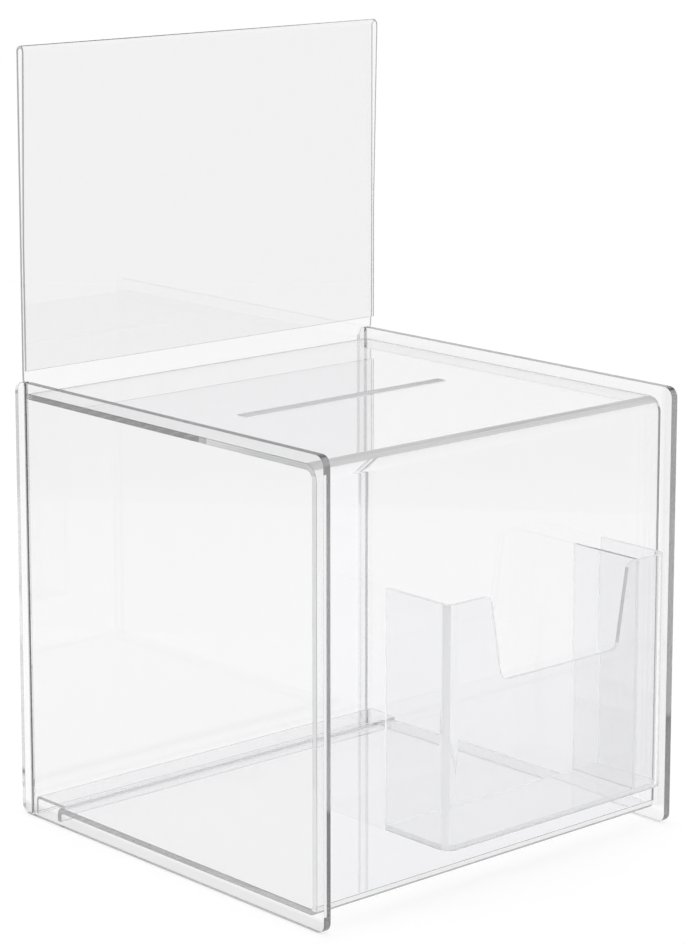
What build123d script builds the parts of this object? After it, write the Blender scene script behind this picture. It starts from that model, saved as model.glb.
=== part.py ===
from build123d import *
from math import cos, radians, sin
import os

# Clear acrylic ballot box with a lift-out back door that carries a poster header,
# and a leaflet and pen pocket on its front. Millimetres, +Z up, front facing -Y.
# Origin on the table, in the middle of the whole outline, pocket included.

# Case as a whole
case_width = 310.0
case_depth = 308.0
case_height = 298.0

# Side panels, cut from flat sheet
side_thickness = 5.5
side_corner_radius = 7.0
groove_width = 3.0
groove_depth = 2.5
groove_setback = 8.0

# Front shell, one sheet bent into top, front, floor and a short rear flange
shell_thickness = 4.0
top_inset = 7.5
front_inset = 9.5
floor_inset = 8.0
top_bend_radius = 10.0
floor_bend_radius = 6.5
flange_bend_radius = 1.5
flange_setback = 36.0
flange_table_gap = 2.0
top_door_clearance = 0.6

# Ballot slot in the top
slot_length = 177.0
slot_width = 8.0
slot_setback = 149.5
slot_offset = -4.0

# Sill angle between the rear flange and the door
sill_thickness = 2.0
sill_bend_radius = 1.5
sill_lap = 2.5
sill_door_gap = 2.0
sill_table_gap = 1.5

# Back door and poster header, one sheet folded over at the top
door_thickness = 2.0
door_side_clearance = 0.4
door_table_gap = 1.5
shoulder_gap = 0.3
shoulder_radius = 2.0
poster_height = 210.0
poster_gap = 0.9
poster_slack = 2.5
header_fold_radius = 2.0
front_leaf_rise = 8.0
front_leaf_lean = 1.4
half_turn = 180.0
front_leaf_bend_radius = 400.0

# Leaflet and pen pocket on the front
pocket_width = 193.0
pocket_depth = 56.5
pocket_height = 154.5
pocket_rise = 51.0
pocket_thickness = 3.0
pocket_bend_radius = 8.0
notch_top_width = 121.0
notch_bottom_width = 102.0
notch_depth = 55.0
notch_corner_radius = 7.0
notch_shoulder_radius = 6.0
pen_bay_width = 22.0

# Places worked out from the sizes
pocket_overhang = pocket_depth - front_inset
case_front = (pocket_overhang - case_depth) / 2
case_middle = case_front + case_depth / 2
case_back = case_front + case_depth
inner_width = case_width - 2 * side_thickness
front_face = case_front + front_inset
top_face = case_height - top_inset
floor_top = floor_inset + shell_thickness
groove_rear = case_back - groove_setback
groove_middle = groove_rear - groove_width / 2
door_rear = groove_middle + door_thickness / 2
door_front = groove_middle - door_thickness / 2
flange_rear = case_back - flange_setback
pocket_front = case_front - pocket_overhang
pocket_rim = pocket_rise + pocket_height
pocket_bay_width = pocket_width - 2 * pocket_thickness

os.makedirs("parts", exist_ok=True)

# Side panels: flat plates with rounded corners, standing proud of all that lies
# between them. A straight groove near the back edge guides the door.
inner_faces = {"left_side_panel": -inner_width / 2, "right_side_panel": inner_width / 2}
for name, inner_x in inner_faces.items():
    outward = side_thickness if inner_x > 0 else -side_thickness
    groove_outward = groove_depth if inner_x > 0 else -groove_depth
    with BuildPart() as side_panel:
        with BuildSketch(Plane.YZ.offset(inner_x)):
            with Locations((case_middle, case_height / 2)):
                RectangleRounded(case_depth, case_height, side_corner_radius)
        extrude(amount=outward)
        with BuildSketch(Plane.YZ.offset(inner_x)):
            with Locations((groove_middle, case_height / 2)):
                Rectangle(groove_width, case_height)
        extrude(amount=groove_outward, mode=Mode.SUBTRACT)
    side_panel.part.label = name
    export_step(side_panel.part, f"parts/{name}.step")

# Front shell: top, front and floor in one bent sheet, bonded edge-on to both side
# panels. The floor ends in a flange bent down to just above the table.
shell_top_end = door_front - top_door_clearance
flange_front = flange_rear - shell_thickness
with BuildPart() as front_shell:
    with BuildSketch(Plane.YZ.offset(-inner_width / 2)):
        with BuildLine():
            FilletPolyline(
                (shell_top_end, top_face),
                (front_face, top_face),
                (front_face, floor_inset),
                (flange_front, floor_inset),
                (flange_front, flange_table_gap),
                radius=[top_bend_radius, floor_bend_radius, flange_bend_radius],
            )
            offset(amount=shell_thickness, side=Side.LEFT)
        make_face()
    extrude(amount=inner_width)
    with BuildSketch(Plane.XY.offset(top_face - shell_thickness)):
        with Locations((slot_offset, case_front + slot_setback)):
            Rectangle(slot_length, slot_width)
    extrude(amount=shell_thickness, mode=Mode.SUBTRACT)
front_shell.part.label = "front_shell"
export_step(front_shell.part, "parts/front_shell.step")

# Sill angle: a thin bent strip that lies on the rear end of the floor, bridges the
# space behind the flange and turns down in front of the door.
sill_rear = door_front - sill_door_gap
sill_top = floor_top + sill_thickness
sill_front = flange_rear - shell_thickness - flange_bend_radius - sill_lap
with BuildPart() as sill_angle:
    with BuildSketch(Plane.YZ.offset(-inner_width / 2)):
        with BuildLine():
            FilletPolyline(
                (sill_rear, sill_table_gap),
                (sill_rear, sill_top),
                (sill_front, sill_top),
                radius=sill_bend_radius + sill_thickness,
            )
            offset(amount=sill_thickness, side=Side.LEFT)
        make_face()
    extrude(amount=inner_width)
sill_angle.part.label = "rear_sill_angle"
export_step(sill_angle.part, "parts/rear_sill_angle.step")

# Back door and poster header: one sheet. Below the shoulders it runs in the
# grooves, above them it is as wide as the case and folds over into a front leaf
# that leans back until it lies a poster's thickness from the back leaf.
header_bottom = case_height + shoulder_gap
front_leaf_bottom = case_height + front_leaf_rise
header_top = front_leaf_bottom + poster_height + poster_slack + door_thickness
fold_outer_radius = header_fold_radius + door_thickness
fold_z = header_top - fold_outer_radius
fold_centre_y = door_rear - fold_outer_radius
fold_turn = half_turn + front_leaf_lean
lean_turn = front_leaf_bend_radius * (1 - cos(radians(front_leaf_lean)))
leaf_front = door_front - poster_gap - door_thickness
fold_exit_y = fold_centre_y - fold_outer_radius * cos(radians(front_leaf_lean))
lean_length = (leaf_front - fold_exit_y - lean_turn) / sin(radians(front_leaf_lean))
door_panel_width = inner_width + 2 * (groove_depth - door_side_clearance)
door_panel_height = header_bottom - door_table_gap
with BuildPart() as back_door:
    with BuildSketch(Plane.YZ.offset(-case_width / 2)):
        with BuildLine():
            back_leaf = Line((door_rear, header_bottom), (door_rear, fold_z))
            fold = JernArc(back_leaf @ 1, (0, 1), fold_outer_radius, fold_turn)
            leaning = PolarLine(fold @ 1, lean_length, direction=fold % 1)
            settle = JernArc(leaning @ 1, leaning % 1, front_leaf_bend_radius, -front_leaf_lean)
            Line(settle @ 1, (leaf_front, front_leaf_bottom))
            offset(amount=door_thickness, side=Side.LEFT)
        make_face()
    extrude(amount=case_width)
    lowest_edges = back_door.edges().filter_by(Axis.Y).group_by(Axis.Z)[0]
    fillet(lowest_edges, shoulder_radius)
    with BuildSketch(Plane.XZ.offset(-door_rear)):
        with Locations((0, door_table_gap + door_panel_height / 2)):
            Rectangle(door_panel_width, door_panel_height)
    extrude(amount=door_thickness)
back_door.part.label = "back_door_with_header"
export_step(back_door.part, "parts/back_door_with_header.step")

# Pocket sleeve: one sheet bent round the front and sides of the pocket, bonded by
# its two rear edges to the shell's front. A wide notch in its front wall is for a
# thumb.
pocket_half = pocket_width / 2
with BuildPart() as pocket_sleeve:
    with BuildSketch(Plane.XY.offset(pocket_rise)):
        with BuildLine():
            FilletPolyline(
                (-pocket_half, front_face),
                (-pocket_half, pocket_front),
                (pocket_half, pocket_front),
                (pocket_half, front_face),
                radius=pocket_bend_radius,
            )
            offset(amount=pocket_thickness, side=Side.LEFT)
        make_face()
    extrude(amount=pocket_height)
    notch_floor = pocket_rim - notch_depth
    shoulder_reach = notch_top_width / 2 + 2 * notch_shoulder_radius
    over_rim = pocket_rim + notch_shoulder_radius
    with BuildSketch(Plane.XZ.offset(-pocket_front - pocket_thickness)):
        with BuildLine():
            notch_edge = FilletPolyline(
                (-shoulder_reach, pocket_rim),
                (-notch_top_width / 2, pocket_rim),
                (-notch_bottom_width / 2, notch_floor),
                (notch_bottom_width / 2, notch_floor),
                (notch_top_width / 2, pocket_rim),
                (shoulder_reach, pocket_rim),
                radius=[
                    notch_shoulder_radius,
                    notch_corner_radius,
                    notch_corner_radius,
                    notch_shoulder_radius,
                ],
            )
            Polyline(
                notch_edge @ 1,
                (shoulder_reach, over_rim),
                (-shoulder_reach, over_rim),
                notch_edge @ 0,
            )
        make_face()
    extrude(amount=pocket_thickness, mode=Mode.SUBTRACT)
pocket_sleeve.part.label = "pocket_sleeve"
export_step(pocket_sleeve.part, "parts/pocket_sleeve.step")

# Pocket floor: a flat plate bonded inside the lower edge of the sleeve.
pocket_bay_depth = pocket_depth - pocket_thickness
bay_middle = front_face - pocket_bay_depth / 2
floor_corner_radius = pocket_bend_radius - pocket_thickness
with BuildPart() as pocket_floor:
    with BuildSketch(Plane.XY.offset(pocket_rise)) as floor_outline:
        with Locations((0, bay_middle)):
            Rectangle(pocket_bay_width, pocket_bay_depth)
        fillet(floor_outline.vertices().group_by(Axis.Y)[0], floor_corner_radius)
    extrude(amount=pocket_thickness)
pocket_floor.part.label = "pocket_floor"
export_step(pocket_floor.part, "parts/pocket_floor.step")

# Pen divider: a flat plate on the pocket floor that parts the pen bay, at the
# right, from the leaflet bay.
divider_x = pocket_bay_width / 2 - pen_bay_width - pocket_thickness / 2
divider_height = pocket_height - pocket_thickness
with BuildPart() as pen_divider:
    with BuildSketch(Plane.XY.offset(pocket_rise + pocket_thickness)):
        with Locations((divider_x, bay_middle)):
            Rectangle(pocket_thickness, pocket_bay_depth)
    extrude(amount=divider_height)
pen_divider.part.label = "pen_divider"
export_step(pen_divider.part, "parts/pen_divider.step")
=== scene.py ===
from math import cos, pi, radians, sin, tan

import bmesh
import bpy
from mathutils import Matrix, Vector


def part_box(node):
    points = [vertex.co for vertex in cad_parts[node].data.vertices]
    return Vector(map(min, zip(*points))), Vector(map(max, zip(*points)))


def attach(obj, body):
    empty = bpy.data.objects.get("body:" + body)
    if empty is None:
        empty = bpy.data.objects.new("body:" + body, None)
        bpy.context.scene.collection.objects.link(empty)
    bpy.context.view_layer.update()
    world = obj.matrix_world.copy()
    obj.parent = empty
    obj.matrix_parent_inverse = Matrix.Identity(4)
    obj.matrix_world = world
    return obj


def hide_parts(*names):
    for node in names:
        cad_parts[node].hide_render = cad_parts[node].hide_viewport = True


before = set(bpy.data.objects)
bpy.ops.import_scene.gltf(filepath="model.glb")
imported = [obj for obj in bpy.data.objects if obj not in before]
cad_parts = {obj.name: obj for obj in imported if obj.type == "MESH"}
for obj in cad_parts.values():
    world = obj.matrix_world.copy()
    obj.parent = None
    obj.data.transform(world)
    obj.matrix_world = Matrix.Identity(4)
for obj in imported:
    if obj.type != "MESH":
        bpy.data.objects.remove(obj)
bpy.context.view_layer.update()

# Clear acrylic ballot box, put together from eight cut and bent sheets that are bonded
# with clear cement. Only the back, which carries the poster header, lifts out.


# Side panels
# Two flat plates of thick clear acrylic with rounded corners and polished edges. All
# other sheets of the case are bonded edge-on between them. A groove milled near the
# rear edge guides the door.
panel_corner_radius = 0.007
panel_corner_segments = 12
groove_width = 0.003
groove_depth = 0.0025
groove_setback = 0.008
polish_width = 0.00025
polish_segments = 2
sharp_angle = radians(25)
merge_distance = 1e-7
same_place = 1e-6
flat_face_weight = 100

# A face looks along an axis when its normal has more than this share along it.
facing_share = 0.5
level_share = 0.9

panel_tint = (0.95, 0.95, 0.96)
edge_tint = (0.6, 0.6, 0.61)
# Level edges are tinted lighter than upright ones: painted light from the table below.
level_edge_light_tint = (0.88, 0.88, 0.89)
shadow_tint = (0.991, 0.991, 0.992)
depth_tint = (0.4, 0.4, 0.43)
depth_density = 0.7
acrylic_ior = 1.49
sheet_gloss = {"roughness": 0, "smear": 0.012, "waviness": 0.02}
polished_gloss = {"roughness": 0.05, "smear": 0.1, "waviness": 0.1}
wipe_scale = 9
wipe_detail = 3
faintest_wipe, strongest_wipe = 0.45, 0.75
ripple_scale = 22
ripple_detail = 1
ripple_height = 0.0005

# Painted light and shade on stretches of the panels
patch_margin = 0.001
patch_rim = 0.0004
strip_end_gap = 0.011
left_strip_width = 0.0024
left_strip_depth = 0.0035
left_light_strip_grey, left_light_strip_clearness = 0.97, 0.1
right_strip_depth = 0.009
right_shade_strip_grey = 0.87
# Painted contact shadow along the sole and foot of each panel
sole_height = 0.001
left_sole_shade_grey, left_sole_shade_clearness = 0.3, 0.3
right_sole_shade_grey, right_sole_shade_clearness = 0.7, 0.4
foot_height = 0.008
left_foot_shade_grey, right_foot_shade_grey = 0.82, 0.91

# The kinds of face on a piece. A polished rim between two kinds takes the earlier one.
kinds = range(9)
FACE, EDGE, LEVEL, SOFT, NOTCH, BOND, CEMENT, BENT, ROUTED = kinds


def shut_in(faces):
    """The faces that would be left inside a piece when it grows from them."""
    return [face for face in faces if all(len(edge.link_faces) > 1 for edge in face.edges)]


def extrude_to(bm, faces, travel):
    """Pushes faces along travel and returns the faces that end up there."""
    inside = shut_in(faces)
    grown = bmesh.ops.extrude_face_region(bm, geom=faces)["geom"]
    moved = [part for part in grown if isinstance(part, bmesh.types.BMVert)]
    bmesh.ops.translate(bm, vec=travel, verts=moved)
    bmesh.ops.delete(bm, geom=inside, context="FACES")
    return [part for part in grown if isinstance(part, bmesh.types.BMFace)]


def outline_face(bm, corners):
    """One flat face from the corners of its outline."""
    return bm.faces.new([bm.verts.new(corner) for corner in corners])


def round_edges(bm, edges, radius, segments):
    """Rounds right-angled bends, corners or edges to that radius and returns the new faces."""
    return bmesh.ops.bevel(
        bm,
        geom=edges,
        offset=radius,
        offset_type="OFFSET",
        segments=segments,
        profile=0.5,
        affect="EDGES",
        material=-1,
    )["faces"]


def edges_at(bm, **place):
    """The edges whose two ends both lie at the given x, y or z."""
    axes = {"x": 0, "y": 1, "z": 2}
    found = []
    for edge in bm.edges:
        ends = [vert.co for vert in edge.verts]
        if all(abs(end[axes[a]] - at) < same_place for a, at in place.items() for end in ends):
            found.append(edge)
    return found


def combine(tree, operation, first, second):
    """Joins two numbers of a material by one step of maths. The second may be a plain one."""
    step = tree.nodes.new("ShaderNodeMath")
    step.operation = operation
    tree.links.new(first, step.inputs[0])
    if isinstance(second, bpy.types.NodeSocket):
        tree.links.new(second, step.inputs[1])
    else:
        step.inputs[1].default_value = second
    return step.outputs["Value"]


def ramp(tree, value, start, end, at_start, at_end, ease=False):
    """Goes from at_start to at_end while the value goes from start to end."""
    slope = tree.nodes.new("ShaderNodeMapRange")
    slope.interpolation_type = "SMOOTHSTEP" if ease else "LINEAR"
    slope.inputs["From Min"].default_value = start
    slope.inputs["From Max"].default_value = end
    slope.inputs["To Min"].default_value = at_start
    slope.inputs["To Max"].default_value = at_end
    tree.links.new(value, slope.inputs["Value"])
    return slope.outputs["Result"]


def clouds(tree, place, scale, detail):
    """A soft uneven pattern that stays where it is on the sheet."""
    noise = tree.nodes.new("ShaderNodeTexNoise")
    noise.inputs["Scale"].default_value = scale
    noise.inputs["Detail"].default_value = detail
    tree.links.new(place, noise.inputs["Vector"])
    return noise.outputs["Fac"]


def acrylic(name, tint, roughness, smear, waviness, clearness=1):
    """Clear cast acrylic with faint wipe marks and ripples. Light that falls through it on
    to other things isn't bent, so it throws the thin soft shadow of a real sheet."""
    material = bpy.data.materials.new(name)
    material.use_nodes = True
    tree = material.node_tree
    nodes, links = tree.nodes, tree.links
    surface = nodes["Principled BSDF"]
    surface.inputs["Base Color"].default_value = (*tint, 1)
    surface.inputs["IOR"].default_value = acrylic_ior
    surface.inputs["Transmission Weight"].default_value = clearness

    place = nodes.new("ShaderNodeTexCoord").outputs["Object"]
    wipes = clouds(tree, place, wipe_scale, wipe_detail)
    gloss = ramp(tree, wipes, faintest_wipe, strongest_wipe, roughness, roughness + smear)
    links.new(gloss, surface.inputs["Roughness"])

    relief = nodes.new("ShaderNodeBump")
    relief.inputs["Strength"].default_value = waviness
    relief.inputs["Distance"].default_value = ripple_height
    links.new(clouds(tree, place, ripple_scale, ripple_detail), relief.inputs["Height"])
    links.new(relief.outputs["Normal"], surface.inputs["Normal"])

    path = nodes.new("ShaderNodeLightPath").outputs
    falls_through = combine(tree, "MAXIMUM", path["Is Shadow Ray"], path["Is Diffuse Ray"])
    unbent = nodes.new("ShaderNodeBsdfTransparent")
    unbent.inputs["Color"].default_value = (*shadow_tint, 1)
    either = nodes.new("ShaderNodeMixShader")
    links.new(falls_through, either.inputs["Fac"])
    links.new(surface.outputs["BSDF"], either.inputs[1])
    links.new(unbent.outputs["BSDF"], either.inputs[2])
    links.new(either.outputs["Shader"], nodes["Material Output"].inputs["Surface"])

    depth = nodes.new("ShaderNodeVolumeAbsorption")
    depth.inputs["Color"].default_value = (*depth_tint, 1)
    depth.inputs["Density"].default_value = depth_density
    links.new(depth.outputs["Volume"], nodes["Material Output"].inputs["Volume"])
    return material


def measured(low, high, start, end):
    """Where a stretch starts and ends along one axis. Above zero is measured from the low
    side of the piece, below zero from its high side, and None is just beyond the piece."""
    places = []
    for at, beyond in ((start, low - patch_margin), (end, high + patch_margin)):
        if at is None:
            places.append(beyond)
        else:
            places.append(low + at if at > 0 else high + at)
    return places


def patch(material, node, grey, clearness=None, x=(None, None), y=(None, None), z=(None, None)):
    """Another grey, and another clearness if one is given, on a stretch of a piece."""
    tree = material.node_tree
    surface = tree.nodes["Principled BSDF"]
    low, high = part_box(node)
    corner, opposite = Vector(), Vector()
    for axis, (start, end) in enumerate((x, y, z)):
        corner[axis], opposite[axis] = measured(low[axis], high[axis], start, end)
    beyond = tree.nodes.new("ShaderNodeTexCoord").outputs["Object"]
    steps = (
        ("SUBTRACT", (corner + opposite) / 2),
        ("ABSOLUTE", None),
        ("SUBTRACT", (opposite - corner) / 2),
    )
    for operation, value in steps:
        step = tree.nodes.new("ShaderNodeVectorMath")
        step.operation = operation
        if value:
            step.inputs[1].default_value = value
        tree.links.new(beyond, step.inputs[0])
        beyond = step.outputs["Vector"]
    parts = tree.nodes.new("ShaderNodeSeparateXYZ")
    tree.links.new(beyond, parts.inputs["Vector"])
    sideways = combine(tree, "MAXIMUM", parts.outputs["X"], parts.outputs["Y"])
    farthest = combine(tree, "MAXIMUM", sideways, parts.outputs["Z"])
    for name, value in (("Base Color", grey), ("Transmission Weight", clearness)):
        if value is None:
            continue
        socket = surface.inputs[name]
        plain = socket.default_value[0] if name == "Base Color" else socket.default_value
        blend = ramp(tree, farthest, 0, -patch_rim, plain, value)
        if socket.is_linked:
            tree.links.new(socket.links[0].from_socket, blend.node.inputs["To Min"])
        tree.links.new(blend, socket)


def finished(bm, name, body, node, finishes):
    """Breaks the sharp edges, closes up the mesh and hands the piece to the frame. A joint's
    rim takes the thin line of cement that is squeezed out there."""
    bmesh.ops.remove_doubles(bm, verts=bm.verts, dist=merge_distance)
    bmesh.ops.recalc_face_normals(bm, faces=bm.faces)
    sharp = [edge for edge in bm.edges if edge.calc_face_angle(0) > sharp_angle]
    rims = round_edges(bm, sharp, polish_width, polish_segments)
    bonded = {face for face in bm.faces if face.material_index == BOND} - set(rims)
    beside_bond = {edge for face in bonded for edge in face.edges}
    for face in rims:
        if beside_bond.intersection(face.edges):
            face.material_index = CEMENT
    for face in bm.faces:
        face.smooth = True
    mesh = bpy.data.meshes.new(name)
    bm.to_mesh(mesh)
    bm.free()
    for kind in kinds:
        mesh.materials.append(finishes.get(kind, finishes[FACE]))
    piece = bpy.data.objects.new(name, mesh)
    bpy.context.scene.collection.objects.link(piece)
    flats = piece.modifiers.new("flat_faces", "WEIGHTED_NORMAL")
    flats.weight = flat_face_weight
    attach(piece, body)
    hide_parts(node)


clear_panel = acrylic("clear_panel", panel_tint, **sheet_gloss)
panel_edge = acrylic("panel_edge", edge_tint, roughness=0.06, smear=0.1, waviness=0.1)
# Painted light: the level edges are a lighter copy of the polished upright edges.
lit_level_edge = acrylic("lit_level_edge", level_edge_light_tint, **polished_gloss)
panel_finishes = {FACE: clear_panel, EDGE: panel_edge, LEVEL: lit_level_edge}

# Painted light: the left panel's front edge strip is near white and mostly not clear.
patch(
    panel_edge,
    "left_side_panel",
    left_light_strip_grey,
    left_light_strip_clearness,
    x=(None, left_strip_width),
    y=(None, left_strip_depth),
    z=(strip_end_gap, -strip_end_gap),
)
# Painted shade: a darker strip along the right panel's front edge.
patch(
    clear_panel,
    "right_side_panel",
    right_shade_strip_grey,
    y=(None, right_strip_depth),
    z=(strip_end_gap, None),
)

# The sole is the edge that stands on the table, the foot the strip of both faces above it.
# Both are painted darker, as a painted contact shadow where the panels stand on the table.
patch(lit_level_edge, "left_side_panel", left_sole_shade_grey, left_sole_shade_clearness, z=(None, sole_height))
patch(lit_level_edge, "right_side_panel", right_sole_shade_grey, right_sole_shade_clearness, z=(None, sole_height))
patch(clear_panel, "left_side_panel", left_foot_shade_grey, z=(None, foot_height))
patch(clear_panel, "right_side_panel", right_foot_shade_grey, z=(None, foot_height))


def side_panel(node, name, inner_sign):
    """One side panel. Its inner face looks along x to the side that the sign gives."""
    low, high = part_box(node)
    inner, outer = (high.x, low.x) if inner_sign > 0 else (low.x, high.x)
    groove_floor = inner - inner_sign * groove_depth
    groove_rear = high.y - groove_setback
    groove_front = groove_rear - groove_width
    plan = [
        (outer, low.y),
        (inner, low.y),
        (inner, groove_front),
        (groove_floor, groove_front),
        (groove_floor, groove_rear),
        (inner, groove_rear),
        (inner, high.y),
        (outer, high.y),
    ]
    bm = bmesh.new()
    foot = outline_face(bm, [(x, y, low.z) for x, y in plan])
    extrude_to(bm, [foot], (0, 0, high.z - low.z))
    corners = [
        edge
        for y in (low.y, high.y)
        for z in (low.z, high.z)
        for edge in edges_at(bm, y=y, z=z)
    ]
    round_edges(bm, corners, panel_corner_radius, panel_corner_segments)
    bm.normal_update()
    for face in bm.faces:
        if abs(face.normal.x) < facing_share:
            face.material_index = LEVEL if abs(face.normal.z) > level_share else EDGE
    finished(bm, name, "case", node, panel_finishes)


side_panel("left_side_panel", "left_panel_plate", 1)
side_panel("right_side_panel", "right_panel_plate", -1)


# Front shell
# One clear sheet bent over a hot wire into the top, the front and the floor, with a
# short flange turned down behind the floor. The ballot slot is routed through the top.
# Its two long edges are bonded to the side panels.
shell_thickness = 0.004
top_bend_radius = 0.01
floor_bend_radius = 0.0065
flange_bend_radius = 0.0015
floor_rise = 0.008
flange_rear_y = 0.1415
large_bend_segments = 24
small_bend_segments = 8
slot_left_x = -0.0925
slot_right_x = 0.0845
slot_front_y = 0.015
slot_rear_y = 0.023
bond_gap = 0.00005

# How far a bent face looks up, as a share of its normal, where its finish changes
flat_share = 0.9999
top_bend_share = 0.65
soft_bend_share = -0.02
low_bend_share = -0.48

shell_tint = (0.962, 0.962, 0.971)
bond_tint = (0.85, 0.85, 0.86)
bond_clearness = 0.9
bonded_gloss = {"roughness": 0.02, "smear": 0.08, "waviness": 0.1}
cement_tint = (0.3, 0.3, 0.31)
bent_tint = (0.64, 0.64, 0.65)
bent_clearness = 0.3
soft_bend_tint = (0.98, 0.98, 0.985)
soft_bend_clearness = 0.12
routed_tint = (0.85, 0.85, 0.86)
routed_clearness = 0.5

# Stretches of the shell with painted light and shade, near its low bend and its bonded ends. Their
# heights are measured from the lower edge of the flange or from the top.
low_bend_depth = 0.011
low_bend_height = 0.0115
low_bend_shade_grey, low_bend_shade_clearness = 0.42, 0.15
front_end_width = 0.0005
front_end_depth = 0.005
front_end_low_gap, front_end_high_gap = 0.009, 0.0065
left_end_light_grey, left_end_light_clearness = 0.95, 0.2
right_end_shade_grey, right_end_shade_clearness = 0.2, 0.15
top_end_length = 0.103
top_end_height = 0.007
top_end_light_grey, top_end_light_clearness = 0.95, 0.5
floor_end_width = 0.001
floor_end_height = 0.0108
floor_end_light_grey, floor_cement_light_grey, floor_end_light_clearness = 0.97, 0.92, 0.5

clear_shell = acrylic("clear_shell", shell_tint, **sheet_gloss)
bonded_edge = acrylic("bonded_edge", bond_tint, clearness=bond_clearness, **bonded_gloss)
cement_line = acrylic("cement_line", cement_tint, roughness=0.2, smear=0.1, waviness=0.1)
bent_zone = acrylic(
    "bent_zone", bent_tint, roughness=0.08, smear=0.1, waviness=0.3, clearness=bent_clearness
)
soft_bend = acrylic("soft_bend", soft_bend_tint, clearness=soft_bend_clearness, **polished_gloss)
routed_edge = acrylic(
    "routed_edge", routed_tint, roughness=0.4, smear=0.2, waviness=0.3, clearness=routed_clearness
)
shell_finishes = {
    FACE: clear_shell,
    BOND: bonded_edge,
    CEMENT: cement_line,
    BENT: bent_zone,
    SOFT: soft_bend,
    ROUTED: routed_edge,
}

# Painted shade on the lowest part of the front bend, above the table.
patch(
    bent_zone,
    "front_shell",
    low_bend_shade_grey,
    low_bend_shade_clearness,
    y=(None, low_bend_depth),
    z=(None, low_bend_height),
)
# Painted light on the left end of the front.
patch(
    bonded_edge,
    "front_shell",
    left_end_light_grey,
    left_end_light_clearness,
    x=(None, front_end_width),
    y=(None, front_end_depth),
    z=(front_end_low_gap, -front_end_high_gap),
)
# Painted light on the left end of the top.
patch(
    bonded_edge,
    "front_shell",
    top_end_light_grey,
    top_end_light_clearness,
    x=(None, front_end_width),
    y=(None, top_end_length),
    z=(-top_end_height, None),
)
# Painted shade on the right end of the front.
patch(
    bonded_edge,
    "front_shell",
    right_end_shade_grey,
    right_end_shade_clearness,
    x=(-front_end_width, None),
    y=(None, front_end_depth),
    z=(front_end_low_gap, -front_end_high_gap),
)
# Painted light on the right end of the floor and on its cement line.
for joint, grey in ((bonded_edge, floor_end_light_grey), (cement_line, floor_cement_light_grey)):
    patch(
        joint,
        "front_shell",
        grey,
        floor_end_light_clearness,
        x=(-floor_end_width, None),
        y=(front_end_depth, None),
        z=(None, floor_end_height),
    )

low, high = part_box("front_shell")
left_x, right_x = low.x + bond_gap, high.x - bond_gap
inner_front_y = low.y + shell_thickness
inner_top_z = high.z - shell_thickness
inner_floor_z = floor_rise + shell_thickness
flange_front_y = flange_rear_y - shell_thickness
shell_profile = [
    (high.y, high.z),
    (slot_rear_y, high.z),
    (slot_front_y, high.z),
    (low.y, high.z),
    (low.y, floor_rise),
    (flange_front_y, floor_rise),
    (flange_front_y, low.z),
    (flange_rear_y, low.z),
    (flange_rear_y, inner_floor_z),
    (inner_front_y, inner_floor_z),
    (inner_front_y, inner_top_z),
    (slot_front_y, inner_top_z),
    (slot_rear_y, inner_top_z),
    (high.y, inner_top_z),
]
bm = bmesh.new()
cut = [outline_face(bm, [(left_x, y, z) for y, z in shell_profile])]
cuts_x = (left_x, slot_left_x, slot_right_x, right_x)
for start_x, end_x in zip(cuts_x, cuts_x[1:]):
    cut = extrude_to(bm, cut, (end_x - start_x, 0, 0))
slot_middle = Vector(((slot_left_x + slot_right_x) / 2, (slot_front_y + slot_rear_y) / 2))
routed = [
    face
    for face in bm.faces
    if (face.calc_center_median().xy - slot_middle).length < polish_width
    and face.calc_center_median().z > inner_floor_z
]
rims = list({edge for face in routed for edge in face.edges})
bmesh.ops.delete(bm, geom=routed, context="FACES_ONLY")
slot_walls = bmesh.ops.bridge_loops(bm, edges=rims)["faces"]
bends = [
    (low.y, high.z, top_bend_radius, large_bend_segments),
    (inner_front_y, inner_top_z, top_bend_radius - shell_thickness, large_bend_segments),
    (low.y, floor_rise, floor_bend_radius, large_bend_segments),
    (inner_front_y, inner_floor_z, floor_bend_radius - shell_thickness, small_bend_segments),
    (flange_front_y, floor_rise, flange_bend_radius, small_bend_segments),
    (flange_rear_y, inner_floor_z, flange_bend_radius + shell_thickness, large_bend_segments),
]
bm.normal_update()
for face in bm.faces:
    if abs(face.normal.x) > facing_share:
        face.material_index = BOND
for face in slot_walls:
    face.material_index = ROUTED
for y, z, radius, segments in bends:
    round_edges(bm, edges_at(bm, y=y, z=z), radius, segments)
bm.normal_update()
for face in bm.faces:
    in_top_bend = top_bend_share < face.normal.z < flat_share
    in_low_bend = -flat_share < face.normal.z < low_bend_share
    if face.normal.y < 0 and (in_top_bend or in_low_bend):
        face.material_index = BENT
    elif face.normal.y < 0 and low_bend_share <= face.normal.z < soft_bend_share:
        face.material_index = SOFT
finished(bm, "shell_sheet", "case", "front_shell", shell_finishes)


# Rear sill angle
# A thin strip bent into an angle. It lies on the rear end of the floor, bridges the
# space behind the flange and turns down just in front of the door.
sill_thickness = 0.002
sill_bend_radius = 0.0015
thin_tint = (0.975, 0.975, 0.98)
thin_edge_tint = (0.9, 0.9, 0.91)
thin_bond_tint = (0.93, 0.93, 0.94)
thin_bond_clearness = 0.6

clear_strip = acrylic("clear_strip", thin_tint, roughness=0, smear=0.015, waviness=0.03)
thin_edge = acrylic("thin_edge", thin_edge_tint, **polished_gloss)
thin_bond = acrylic("thin_bond", thin_bond_tint, clearness=thin_bond_clearness, **bonded_gloss)
sill_finishes = {FACE: clear_strip, EDGE: thin_edge, BOND: thin_bond, CEMENT: thin_bond}

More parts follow.
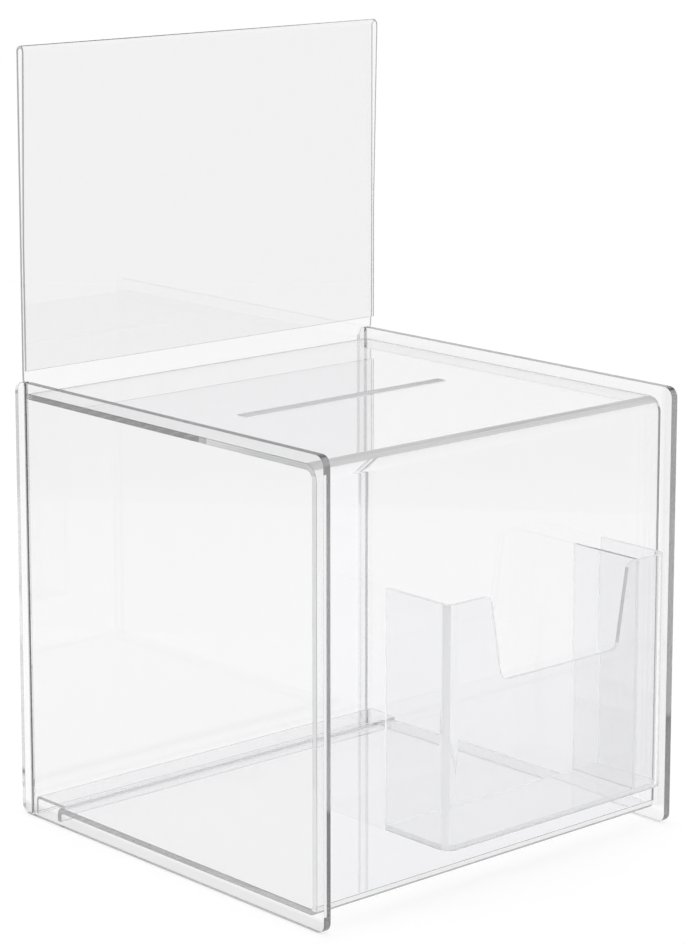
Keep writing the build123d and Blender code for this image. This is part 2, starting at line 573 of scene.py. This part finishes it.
low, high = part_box("rear_sill_angle")
left_x, right_x = low.x + bond_gap, high.x - bond_gap
under_z = high.z - sill_thickness + bond_gap
leg_front_y = high.y - sill_thickness
sill_profile = [
    (low.y, high.z),
    (low.y, under_z),
    (leg_front_y, under_z),
    (leg_front_y, low.z),
    (high.y, low.z),
    (high.y, high.z),
]
bm = bmesh.new()
strip_end = outline_face(bm, [(left_x, y, z) for y, z in sill_profile])
extrude_to(bm, [strip_end], (right_x - left_x, 0, 0))
bm.normal_update()
for face in bm.faces:
    middle = face.calc_center_median()
    if abs(face.normal.x) > facing_share:
        face.material_index = BOND
    elif abs(middle.y - low.y) < polish_width or abs(middle.z - low.z) < polish_width:
        face.material_index = EDGE
outer_radius = sill_bend_radius + sill_thickness
round_edges(bm, edges_at(bm, y=high.y, z=high.z), outer_radius, small_bend_segments)
round_edges(bm, edges_at(bm, y=leg_front_y, z=under_z), sill_bend_radius, small_bend_segments)
finished(bm, "sill_strip", "case", "rear_sill_angle", sill_finishes)


# Back door with poster header
# One thin sheet. The lower part is the back of the box and runs in the grooves. Above
# the side panels it is as wide as the box, and it is folded over at the top into a front
# leaf that leans back, so that a poster is held between the two leaves.
door_thickness = 0.002
shoulder_z = 0.2983
shoulder_radius = 0.002
groove_reach = 0.0021
fold_inner_radius = 0.002
leaf_lean = radians(1.4)
leaf_bend_radius = 0.4
leaf_bottom_z = 0.306
poster_gap = 0.0009
fold_segments = 36
settle_segments = 8
door_tint = (0.96, 0.96, 0.965)
header_edge_width = 0.0015
header_edge_height = 0.222
# Painted light on the header's left edges and painted shade on its right edges
left_header_light_grey, left_header_light_clearness = 0.97, 0.6
right_header_shade_grey, right_header_shade_clearness = 0.25, 0.5


def bend_on(bm, faces, centre, axis, angle, steps):
    """Carries faces on round a bend and returns the faces that end up there."""
    inside = shut_in(faces)
    turned = bmesh.ops.spin(
        bm,
        geom=faces,
        cent=centre,
        axis=axis,
        dvec=(0, 0, 0),
        angle=angle,
        steps=steps,
        use_merge=False,
        use_duplicate=False,
    )["geom_last"]
    bmesh.ops.delete(bm, geom=inside, context="FACES")
    return [part for part in turned if isinstance(part, bmesh.types.BMFace)]


clear_door = acrylic("clear_door", door_tint, roughness=0, smear=0.01, waviness=0.02)
door_edge = acrylic("door_edge", thin_edge_tint, **polished_gloss)
door_finishes = {FACE: clear_door, EDGE: door_edge}

# Painted light on the header's left edges, painted shade on its right edges.
patch(
    door_edge,
    "back_door_with_header",
    left_header_light_grey,
    left_header_light_clearness,
    x=(None, header_edge_width),
    z=(-header_edge_height, None),
)
patch(
    door_edge,
    "back_door_with_header",
    right_header_shade_grey,
    right_header_shade_clearness,
    x=(-header_edge_width, None),
    z=(-header_edge_height, None),
)

low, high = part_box("back_door_with_header")
runner_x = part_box("front_shell")[1].x + groove_reach
rear_y = high.y
front_y = rear_y - door_thickness
fold_radius = fold_inner_radius + door_thickness
fold_y, fold_z = rear_y - fold_radius, high.z - fold_radius
bm = bmesh.new()
columns = [low.x, -runner_x, runner_x, high.x]
rows = [[bm.verts.new((x, y, shoulder_z)) for x in columns] for y in (front_y, rear_y)]
strips = [
    bm.faces.new((rows[0][i], rows[0][i + 1], rows[1][i + 1], rows[1][i]))
    for i in range(len(columns) - 1)
]
leaf_end = extrude_to(bm, strips, (0, 0, fold_z - shoulder_z))
fold_centre = (0, fold_y, fold_z)
leaf_end = bend_on(bm, leaf_end, fold_centre, (1, 0, 0), pi + leaf_lean, fold_segments)
leaf_y = front_y - poster_gap - door_thickness
exit_y = fold_y - fold_radius * cos(leaf_lean)
exit_z = fold_z - fold_radius * sin(leaf_lean)
settle_shift = leaf_bend_radius * (1 - cos(leaf_lean))
lean_length = (leaf_y - exit_y - settle_shift) / sin(leaf_lean)
leaning = Vector((0, sin(leaf_lean), -cos(leaf_lean)))
leaf_end = extrude_to(bm, leaf_end, lean_length * leaning)
settle_start = Vector((0, exit_y, exit_z)) + lean_length * leaning
settle_centre = settle_start - leaf_bend_radius * Vector((0, cos(leaf_lean), sin(leaf_lean)))
leaf_end = bend_on(bm, leaf_end, settle_centre, (1, 0, 0), -leaf_lean, settle_segments)
settled_z = min(vert.co.z for face in leaf_end for vert in face.verts)
extrude_to(bm, leaf_end, (0, 0, leaf_bottom_z - settled_z))
door_strip = [
    face
    for face in bm.faces
    if abs(face.calc_center_median().z - shoulder_z) < polish_width
    and abs(face.calc_center_median().x) < polish_width
]
extrude_to(bm, door_strip, (0, 0, low.z - shoulder_z))
for x in (low.x, high.x):
    round_edges(bm, edges_at(bm, x=x, z=shoulder_z), shoulder_radius, small_bend_segments)
bm.normal_update()
for face in bm.faces:
    middle = face.calc_center_median()
    at_side = abs(face.normal.x) > facing_share
    at_foot = abs(middle.z - low.z) < polish_width or abs(middle.z - leaf_bottom_z) < polish_width
    at_shoulder = abs(middle.x) > runner_x and middle.z < shoulder_z + shoulder_radius
    if at_side or at_foot or at_shoulder:
        face.material_index = EDGE
finished(bm, "door_sheet", "door", "back_door_with_header", door_finishes)


# Pocket sleeve
# One sheet bent round the front and both sides of the leaflet pocket and bonded by its
# two rear edges to the front of the shell. The notch in its front wall lets a thumb
# reach the leaflets.
pocket_thickness = 0.003
pocket_bend_radius = 0.008
notch_top_half = 0.0605
notch_bottom_half = 0.051
notch_depth = 0.055
notch_corner_radius = 0.007
notch_shoulder_radius = 0.006
notch_segments = 10
pocket_bend_segments = 20
pocket_tint = (0.942, 0.942, 0.947)
notch_tint = (0.95, 0.95, 0.955)
notch_clearness = 0.65
pocket_bond_tint = (0.98, 0.98, 0.985)
pocket_bond_clearness = 0.35
pocket_bent_tint = (0.985, 0.985, 0.99)
pocket_bent_clearness = 0.45

# How far a bent face looks to the side, as a share of its normal, where its finish changes
pocket_bend_share = 0.59

clear_pocket = acrylic("clear_pocket", pocket_tint, **sheet_gloss)
pocket_bend = acrylic(
    "pocket_bend",
    pocket_bent_tint,
    roughness=0.12,
    smear=0.1,
    waviness=0.2,
    clearness=pocket_bent_clearness,
)
notch_edge = acrylic("notch_edge", notch_tint, clearness=notch_clearness, **polished_gloss)
pocket_bond = acrylic(
    "pocket_bond", pocket_bond_tint, clearness=pocket_bond_clearness, **bonded_gloss
)
pocket_finishes = {
    FACE: clear_pocket,
    EDGE: thin_edge,
    BOND: pocket_bond,
    CEMENT: pocket_bond,
    BENT: pocket_bend,
    NOTCH: notch_edge,
}

low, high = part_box("pocket_sleeve")
flat_half = high.x - pocket_bend_radius
notch_z = high.z - notch_depth
front_outline = [
    (-flat_half, low.z),
    (flat_half, low.z),
    (flat_half, high.z),
    (notch_top_half, high.z),
    (notch_bottom_half, notch_z),
    (-notch_bottom_half, notch_z),
    (-notch_top_half, high.z),
    (-flat_half, high.z),
]
notch_turn = pi / 2 - (notch_top_half - notch_bottom_half) / notch_depth
bm = bmesh.new()
outline_face(bm, [(x, low.y, z) for x, z in front_outline])
rounded = (
    (notch_bottom_half, notch_z, notch_corner_radius),
    (notch_top_half, high.z, notch_shoulder_radius),
)
for half, z, radius in rounded:
    for x in (-half, half):
        corner = min(bm.verts, key=lambda vert: (vert.co - Vector((x, low.y, z))).length)
        bmesh.ops.bevel(
            bm,
            geom=[corner],
            offset=radius * tan(notch_turn / 2),
            offset_type="OFFSET",
            segments=notch_segments,
            profile=0.5,
            affect="VERTICES",
            material=-1,
        )
extrude_to(bm, list(bm.faces), (0, pocket_thickness, 0))
bm.normal_update()
side_length = high.y - bond_gap - low.y - pocket_bend_radius
for side in (-1, 1):
    bend_x = side * flat_half
    end = [face for face in bm.faces if abs(face.calc_center_median().x - bend_x) < same_place]
    bend_centre = (bend_x, low.y + pocket_bend_radius, 0)
    end = bend_on(bm, end, bend_centre, (0, 0, 1), side * pi / 2, pocket_bend_segments)
    extrude_to(bm, end, (0, side_length, 0))
bm.normal_update()
for face in bm.faces:
    middle = face.calc_center_median()
    in_notch = abs(middle.x) < notch_top_half and abs(face.normal.y) < facing_share
    if abs(middle.y - high.y) < polish_width or face.normal.z < -facing_share:
        face.material_index = BOND
    elif in_notch and abs(face.normal.x) > facing_share:
        face.material_index = NOTCH
    elif face.normal.z > facing_share or in_notch:
        face.material_index = EDGE
    elif pocket_bend_share < abs(face.normal.x) < flat_share and face.normal.x * middle.x > 0:
        face.material_index = BENT
finished(bm, "pocket_sleeve_sheet", "case", "pocket_sleeve", pocket_finishes)


# Pocket floor
# A flat plate cut from the same sheet as the sleeve, with two rounded corners. It is
# bonded inside the lower edge of the sleeve and to the front of the shell.
floor_corner_radius = pocket_bend_radius - pocket_thickness
# The plate's faces are a lighter, partly white copy of the sleeve's acrylic: painted light.
plate_light_tint = (1, 1, 1)
plate_light_clearness = 0.8


def flat_plate(low, high):
    """A flat plate between its lowest and its highest corner."""
    bm = bmesh.new()
    shape = Matrix.Translation((low + high) / 2) @ Matrix.Diagonal((*(high - low), 1))
    bmesh.ops.create_cube(bm, size=1, matrix=shape)
    return bm


# Painted light: a lighter copy of the clear sheet.
painted_light_plate = acrylic("painted_light_plate", plate_light_tint, clearness=plate_light_clearness, **sheet_gloss)
plate_finishes = {**pocket_finishes, FACE: painted_light_plate}

low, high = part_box("pocket_floor")
low = low + Vector((bond_gap, bond_gap, 0))
high = high - Vector((bond_gap, bond_gap, 0))
bm = flat_plate(low, high)
for x in (low.x, high.x):
    corner = edges_at(bm, x=x, y=low.y)
    round_edges(bm, corner, floor_corner_radius, small_bend_segments)
bm.normal_update()
for face in bm.faces:
    face.material_index = FACE if abs(face.normal.z) > facing_share else BOND
finished(bm, "pocket_floor_plate", "case", "pocket_floor", plate_finishes)


# Pen divider
# A flat plate that stands on the pocket floor and is bonded to the sleeve and the shell.
# It parts the pen bay from the leaflet bay.
low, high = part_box("pen_divider")
low = low + Vector((0, bond_gap, bond_gap))
high = high - Vector((0, bond_gap, 0))
bm = flat_plate(low, high)
bm.normal_update()
for face in bm.faces:
    if abs(face.normal.z) > facing_share:
        face.material_index = EDGE
    elif abs(face.normal.y) > facing_share:
        face.material_index = BOND
finished(bm, "pen_divider_plate", "case", "pen_divider", pocket_finishes)


# Table
# A long white table top that runs away from the camera under the box. Its own faint glow
# fades with distance, so that no line of its far end shows through the header.
camera_yaw = radians(41.904)
table_half_width = 0.68
table_front = -0.6
table_rear = 2.2
table_drop = 0.0005
table_colour = 0.9
near_glow, far_glow = 0.14, 0.1
near_distance, far_distance = 0.9, 2.1

scene = bpy.context.scene
table_half_length = (table_rear - table_front) / 2
along = Matrix.Rotation(-camera_yaw, 4, "Z")
shape = along @ Matrix.Translation((0, (table_rear + table_front) / 2, -table_drop))
shape = shape @ Matrix.Diagonal((table_half_width, table_half_length, 1, 1))
bm = bmesh.new()
bmesh.ops.create_grid(bm, x_segments=1, y_segments=1, size=1, matrix=shape)
mesh = bpy.data.meshes.new("table_top")
bm.to_mesh(mesh)
bm.free()
table = bpy.data.objects.new("table_top", mesh)
scene.collection.objects.link(table)

white = bpy.data.materials.new("white_table")
white.use_nodes = True
tree = white.node_tree
surface = tree.nodes["Principled BSDF"]
surface.inputs["Base Color"].default_value = (table_colour, table_colour, table_colour, 1)
surface.inputs["Roughness"].default_value = 1
surface.inputs["Specular IOR Level"].default_value = 0
surface.inputs["Emission Color"].default_value = (1, 1, 1, 1)
distance = tree.nodes.new("ShaderNodeVectorMath")
distance.operation = "LENGTH"
tree.links.new(tree.nodes.new("ShaderNodeTexCoord").outputs["Object"], distance.inputs[0])
away = distance.outputs["Value"]
glow = ramp(tree, away, near_distance, far_distance, near_glow, far_glow)
path = tree.nodes.new("ShaderNodeLightPath").outputs
seen = combine(tree, "MAXIMUM", path["Is Camera Ray"], path["Is Transmission Ray"])
seen = combine(tree, "MAXIMUM", seen, path["Is Glossy Ray"])
tree.links.new(combine(tree, "MULTIPLY", seen, glow), surface.inputs["Emission Strength"])
mesh.materials.append(white)


# Room
# A white studio room with an evenly lit backdrop and ceiling. What is mirrored or guided
# along the sheets sees the room's unlit side too, which draws their edges in grey.
dark_room = 0.25
bright_room = 0.84
dark_from_mirrors = 3
clear_bounces = 48
shadow_bounces = 32

# Where the backdrop, the ceiling and the light from the table begin and end, as the share
# of a direction that points to the backdrop or up
backdrop_towards = (0.67, 0.74, 0)
backdrop_dark, backdrop_bright = 0.2, 0.6
ceiling_dark, ceiling_bright = 0.5, 0.8
table_bright, table_dark = -0.27, -0.2

room = bpy.data.worlds.new("white_room")
scene.world = room
room.use_nodes = True
tree = room.node_tree
towards = tree.nodes.new("ShaderNodeTexCoord").outputs["Generated"]
parts = tree.nodes.new("ShaderNodeSeparateXYZ")
tree.links.new(towards, parts.inputs["Vector"])
upwards = parts.outputs["Z"]
aim = tree.nodes.new("ShaderNodeVectorMath")
aim.operation = "DOT_PRODUCT"
aim.inputs[1].default_value = backdrop_towards
tree.links.new(towards, aim.inputs[0])
backwards = aim.outputs["Value"]
backdrop_fade = (backdrop_dark, backdrop_bright, dark_room, bright_room)
backdrop = ramp(tree, backwards, *backdrop_fade, ease=True)
ceiling = ramp(tree, upwards, ceiling_dark, ceiling_bright, 0, 1, ease=True)
table_light = ramp(tree, upwards, table_bright, table_dark, bright_room, 0, ease=True)
above_or_below = combine(tree, "MAXIMUM", ceiling, table_light)
studio = combine(tree, "MAXIMUM", backdrop, above_or_below)

# The room is plain white until light has been mirrored inside the sheets.
path = tree.nodes.new("ShaderNodeLightPath").outputs
mirrored = combine(tree, "DIVIDE", path["Glossy Depth"], dark_from_mirrors)
lit = combine(tree, "MAXIMUM", path["Is Camera Ray"], path["Is Diffuse Ray"])
unlit = combine(tree, "SUBTRACT", mirrored, lit)
unlit.node.use_clamp = True
level = tree.nodes.new("ShaderNodeMix")
level.data_type = "FLOAT"
level.inputs["A"].default_value = 1
tree.links.new(unlit, level.inputs["Factor"])
tree.links.new(studio, level.inputs["B"])
light = tree.nodes["Background"]
light.inputs["Color"].default_value = (1, 1, 1, 1)
tree.links.new(level.outputs["Result"], light.inputs["Strength"])

scene.view_settings.view_transform = "Standard"
scene.cycles.max_bounces = clear_bounces
scene.cycles.transmission_bounces = clear_bounces
scene.cycles.glossy_bounces = clear_bounces
scene.cycles.transparent_max_bounces = shadow_bounces


# Camera
# It stands where the photograph was taken from, to the left of the box and a little
# above it. The shift keeps the uprights nearly parallel.
camera_pitch = radians(10.414)
camera_place = (-1.3674, -1.4983, 0.7096)
focal_pixels = 3170.1
principal_row = 330.75
frame_height = 945
sensor_size = 36
farthest_seen = 50

ahead = Vector((
    sin(camera_yaw) * cos(camera_pitch),
    cos(camera_yaw) * cos(camera_pitch),
    -sin(camera_pitch),
))
camera_data = bpy.data.cameras.new("camera")
camera_data.sensor_width = sensor_size
camera_data.lens = focal_pixels / frame_height * sensor_size
camera_data.shift_y = (principal_row - frame_height / 2) / frame_height
camera_data.clip_end = farthest_seen
camera = bpy.data.objects.new("camera", camera_data)
camera.location = camera_place
camera.rotation_euler = ahead.to_track_quat("-Z", "Y").to_euler()
scene.collection.objects.link(camera)
scene.camera = camera
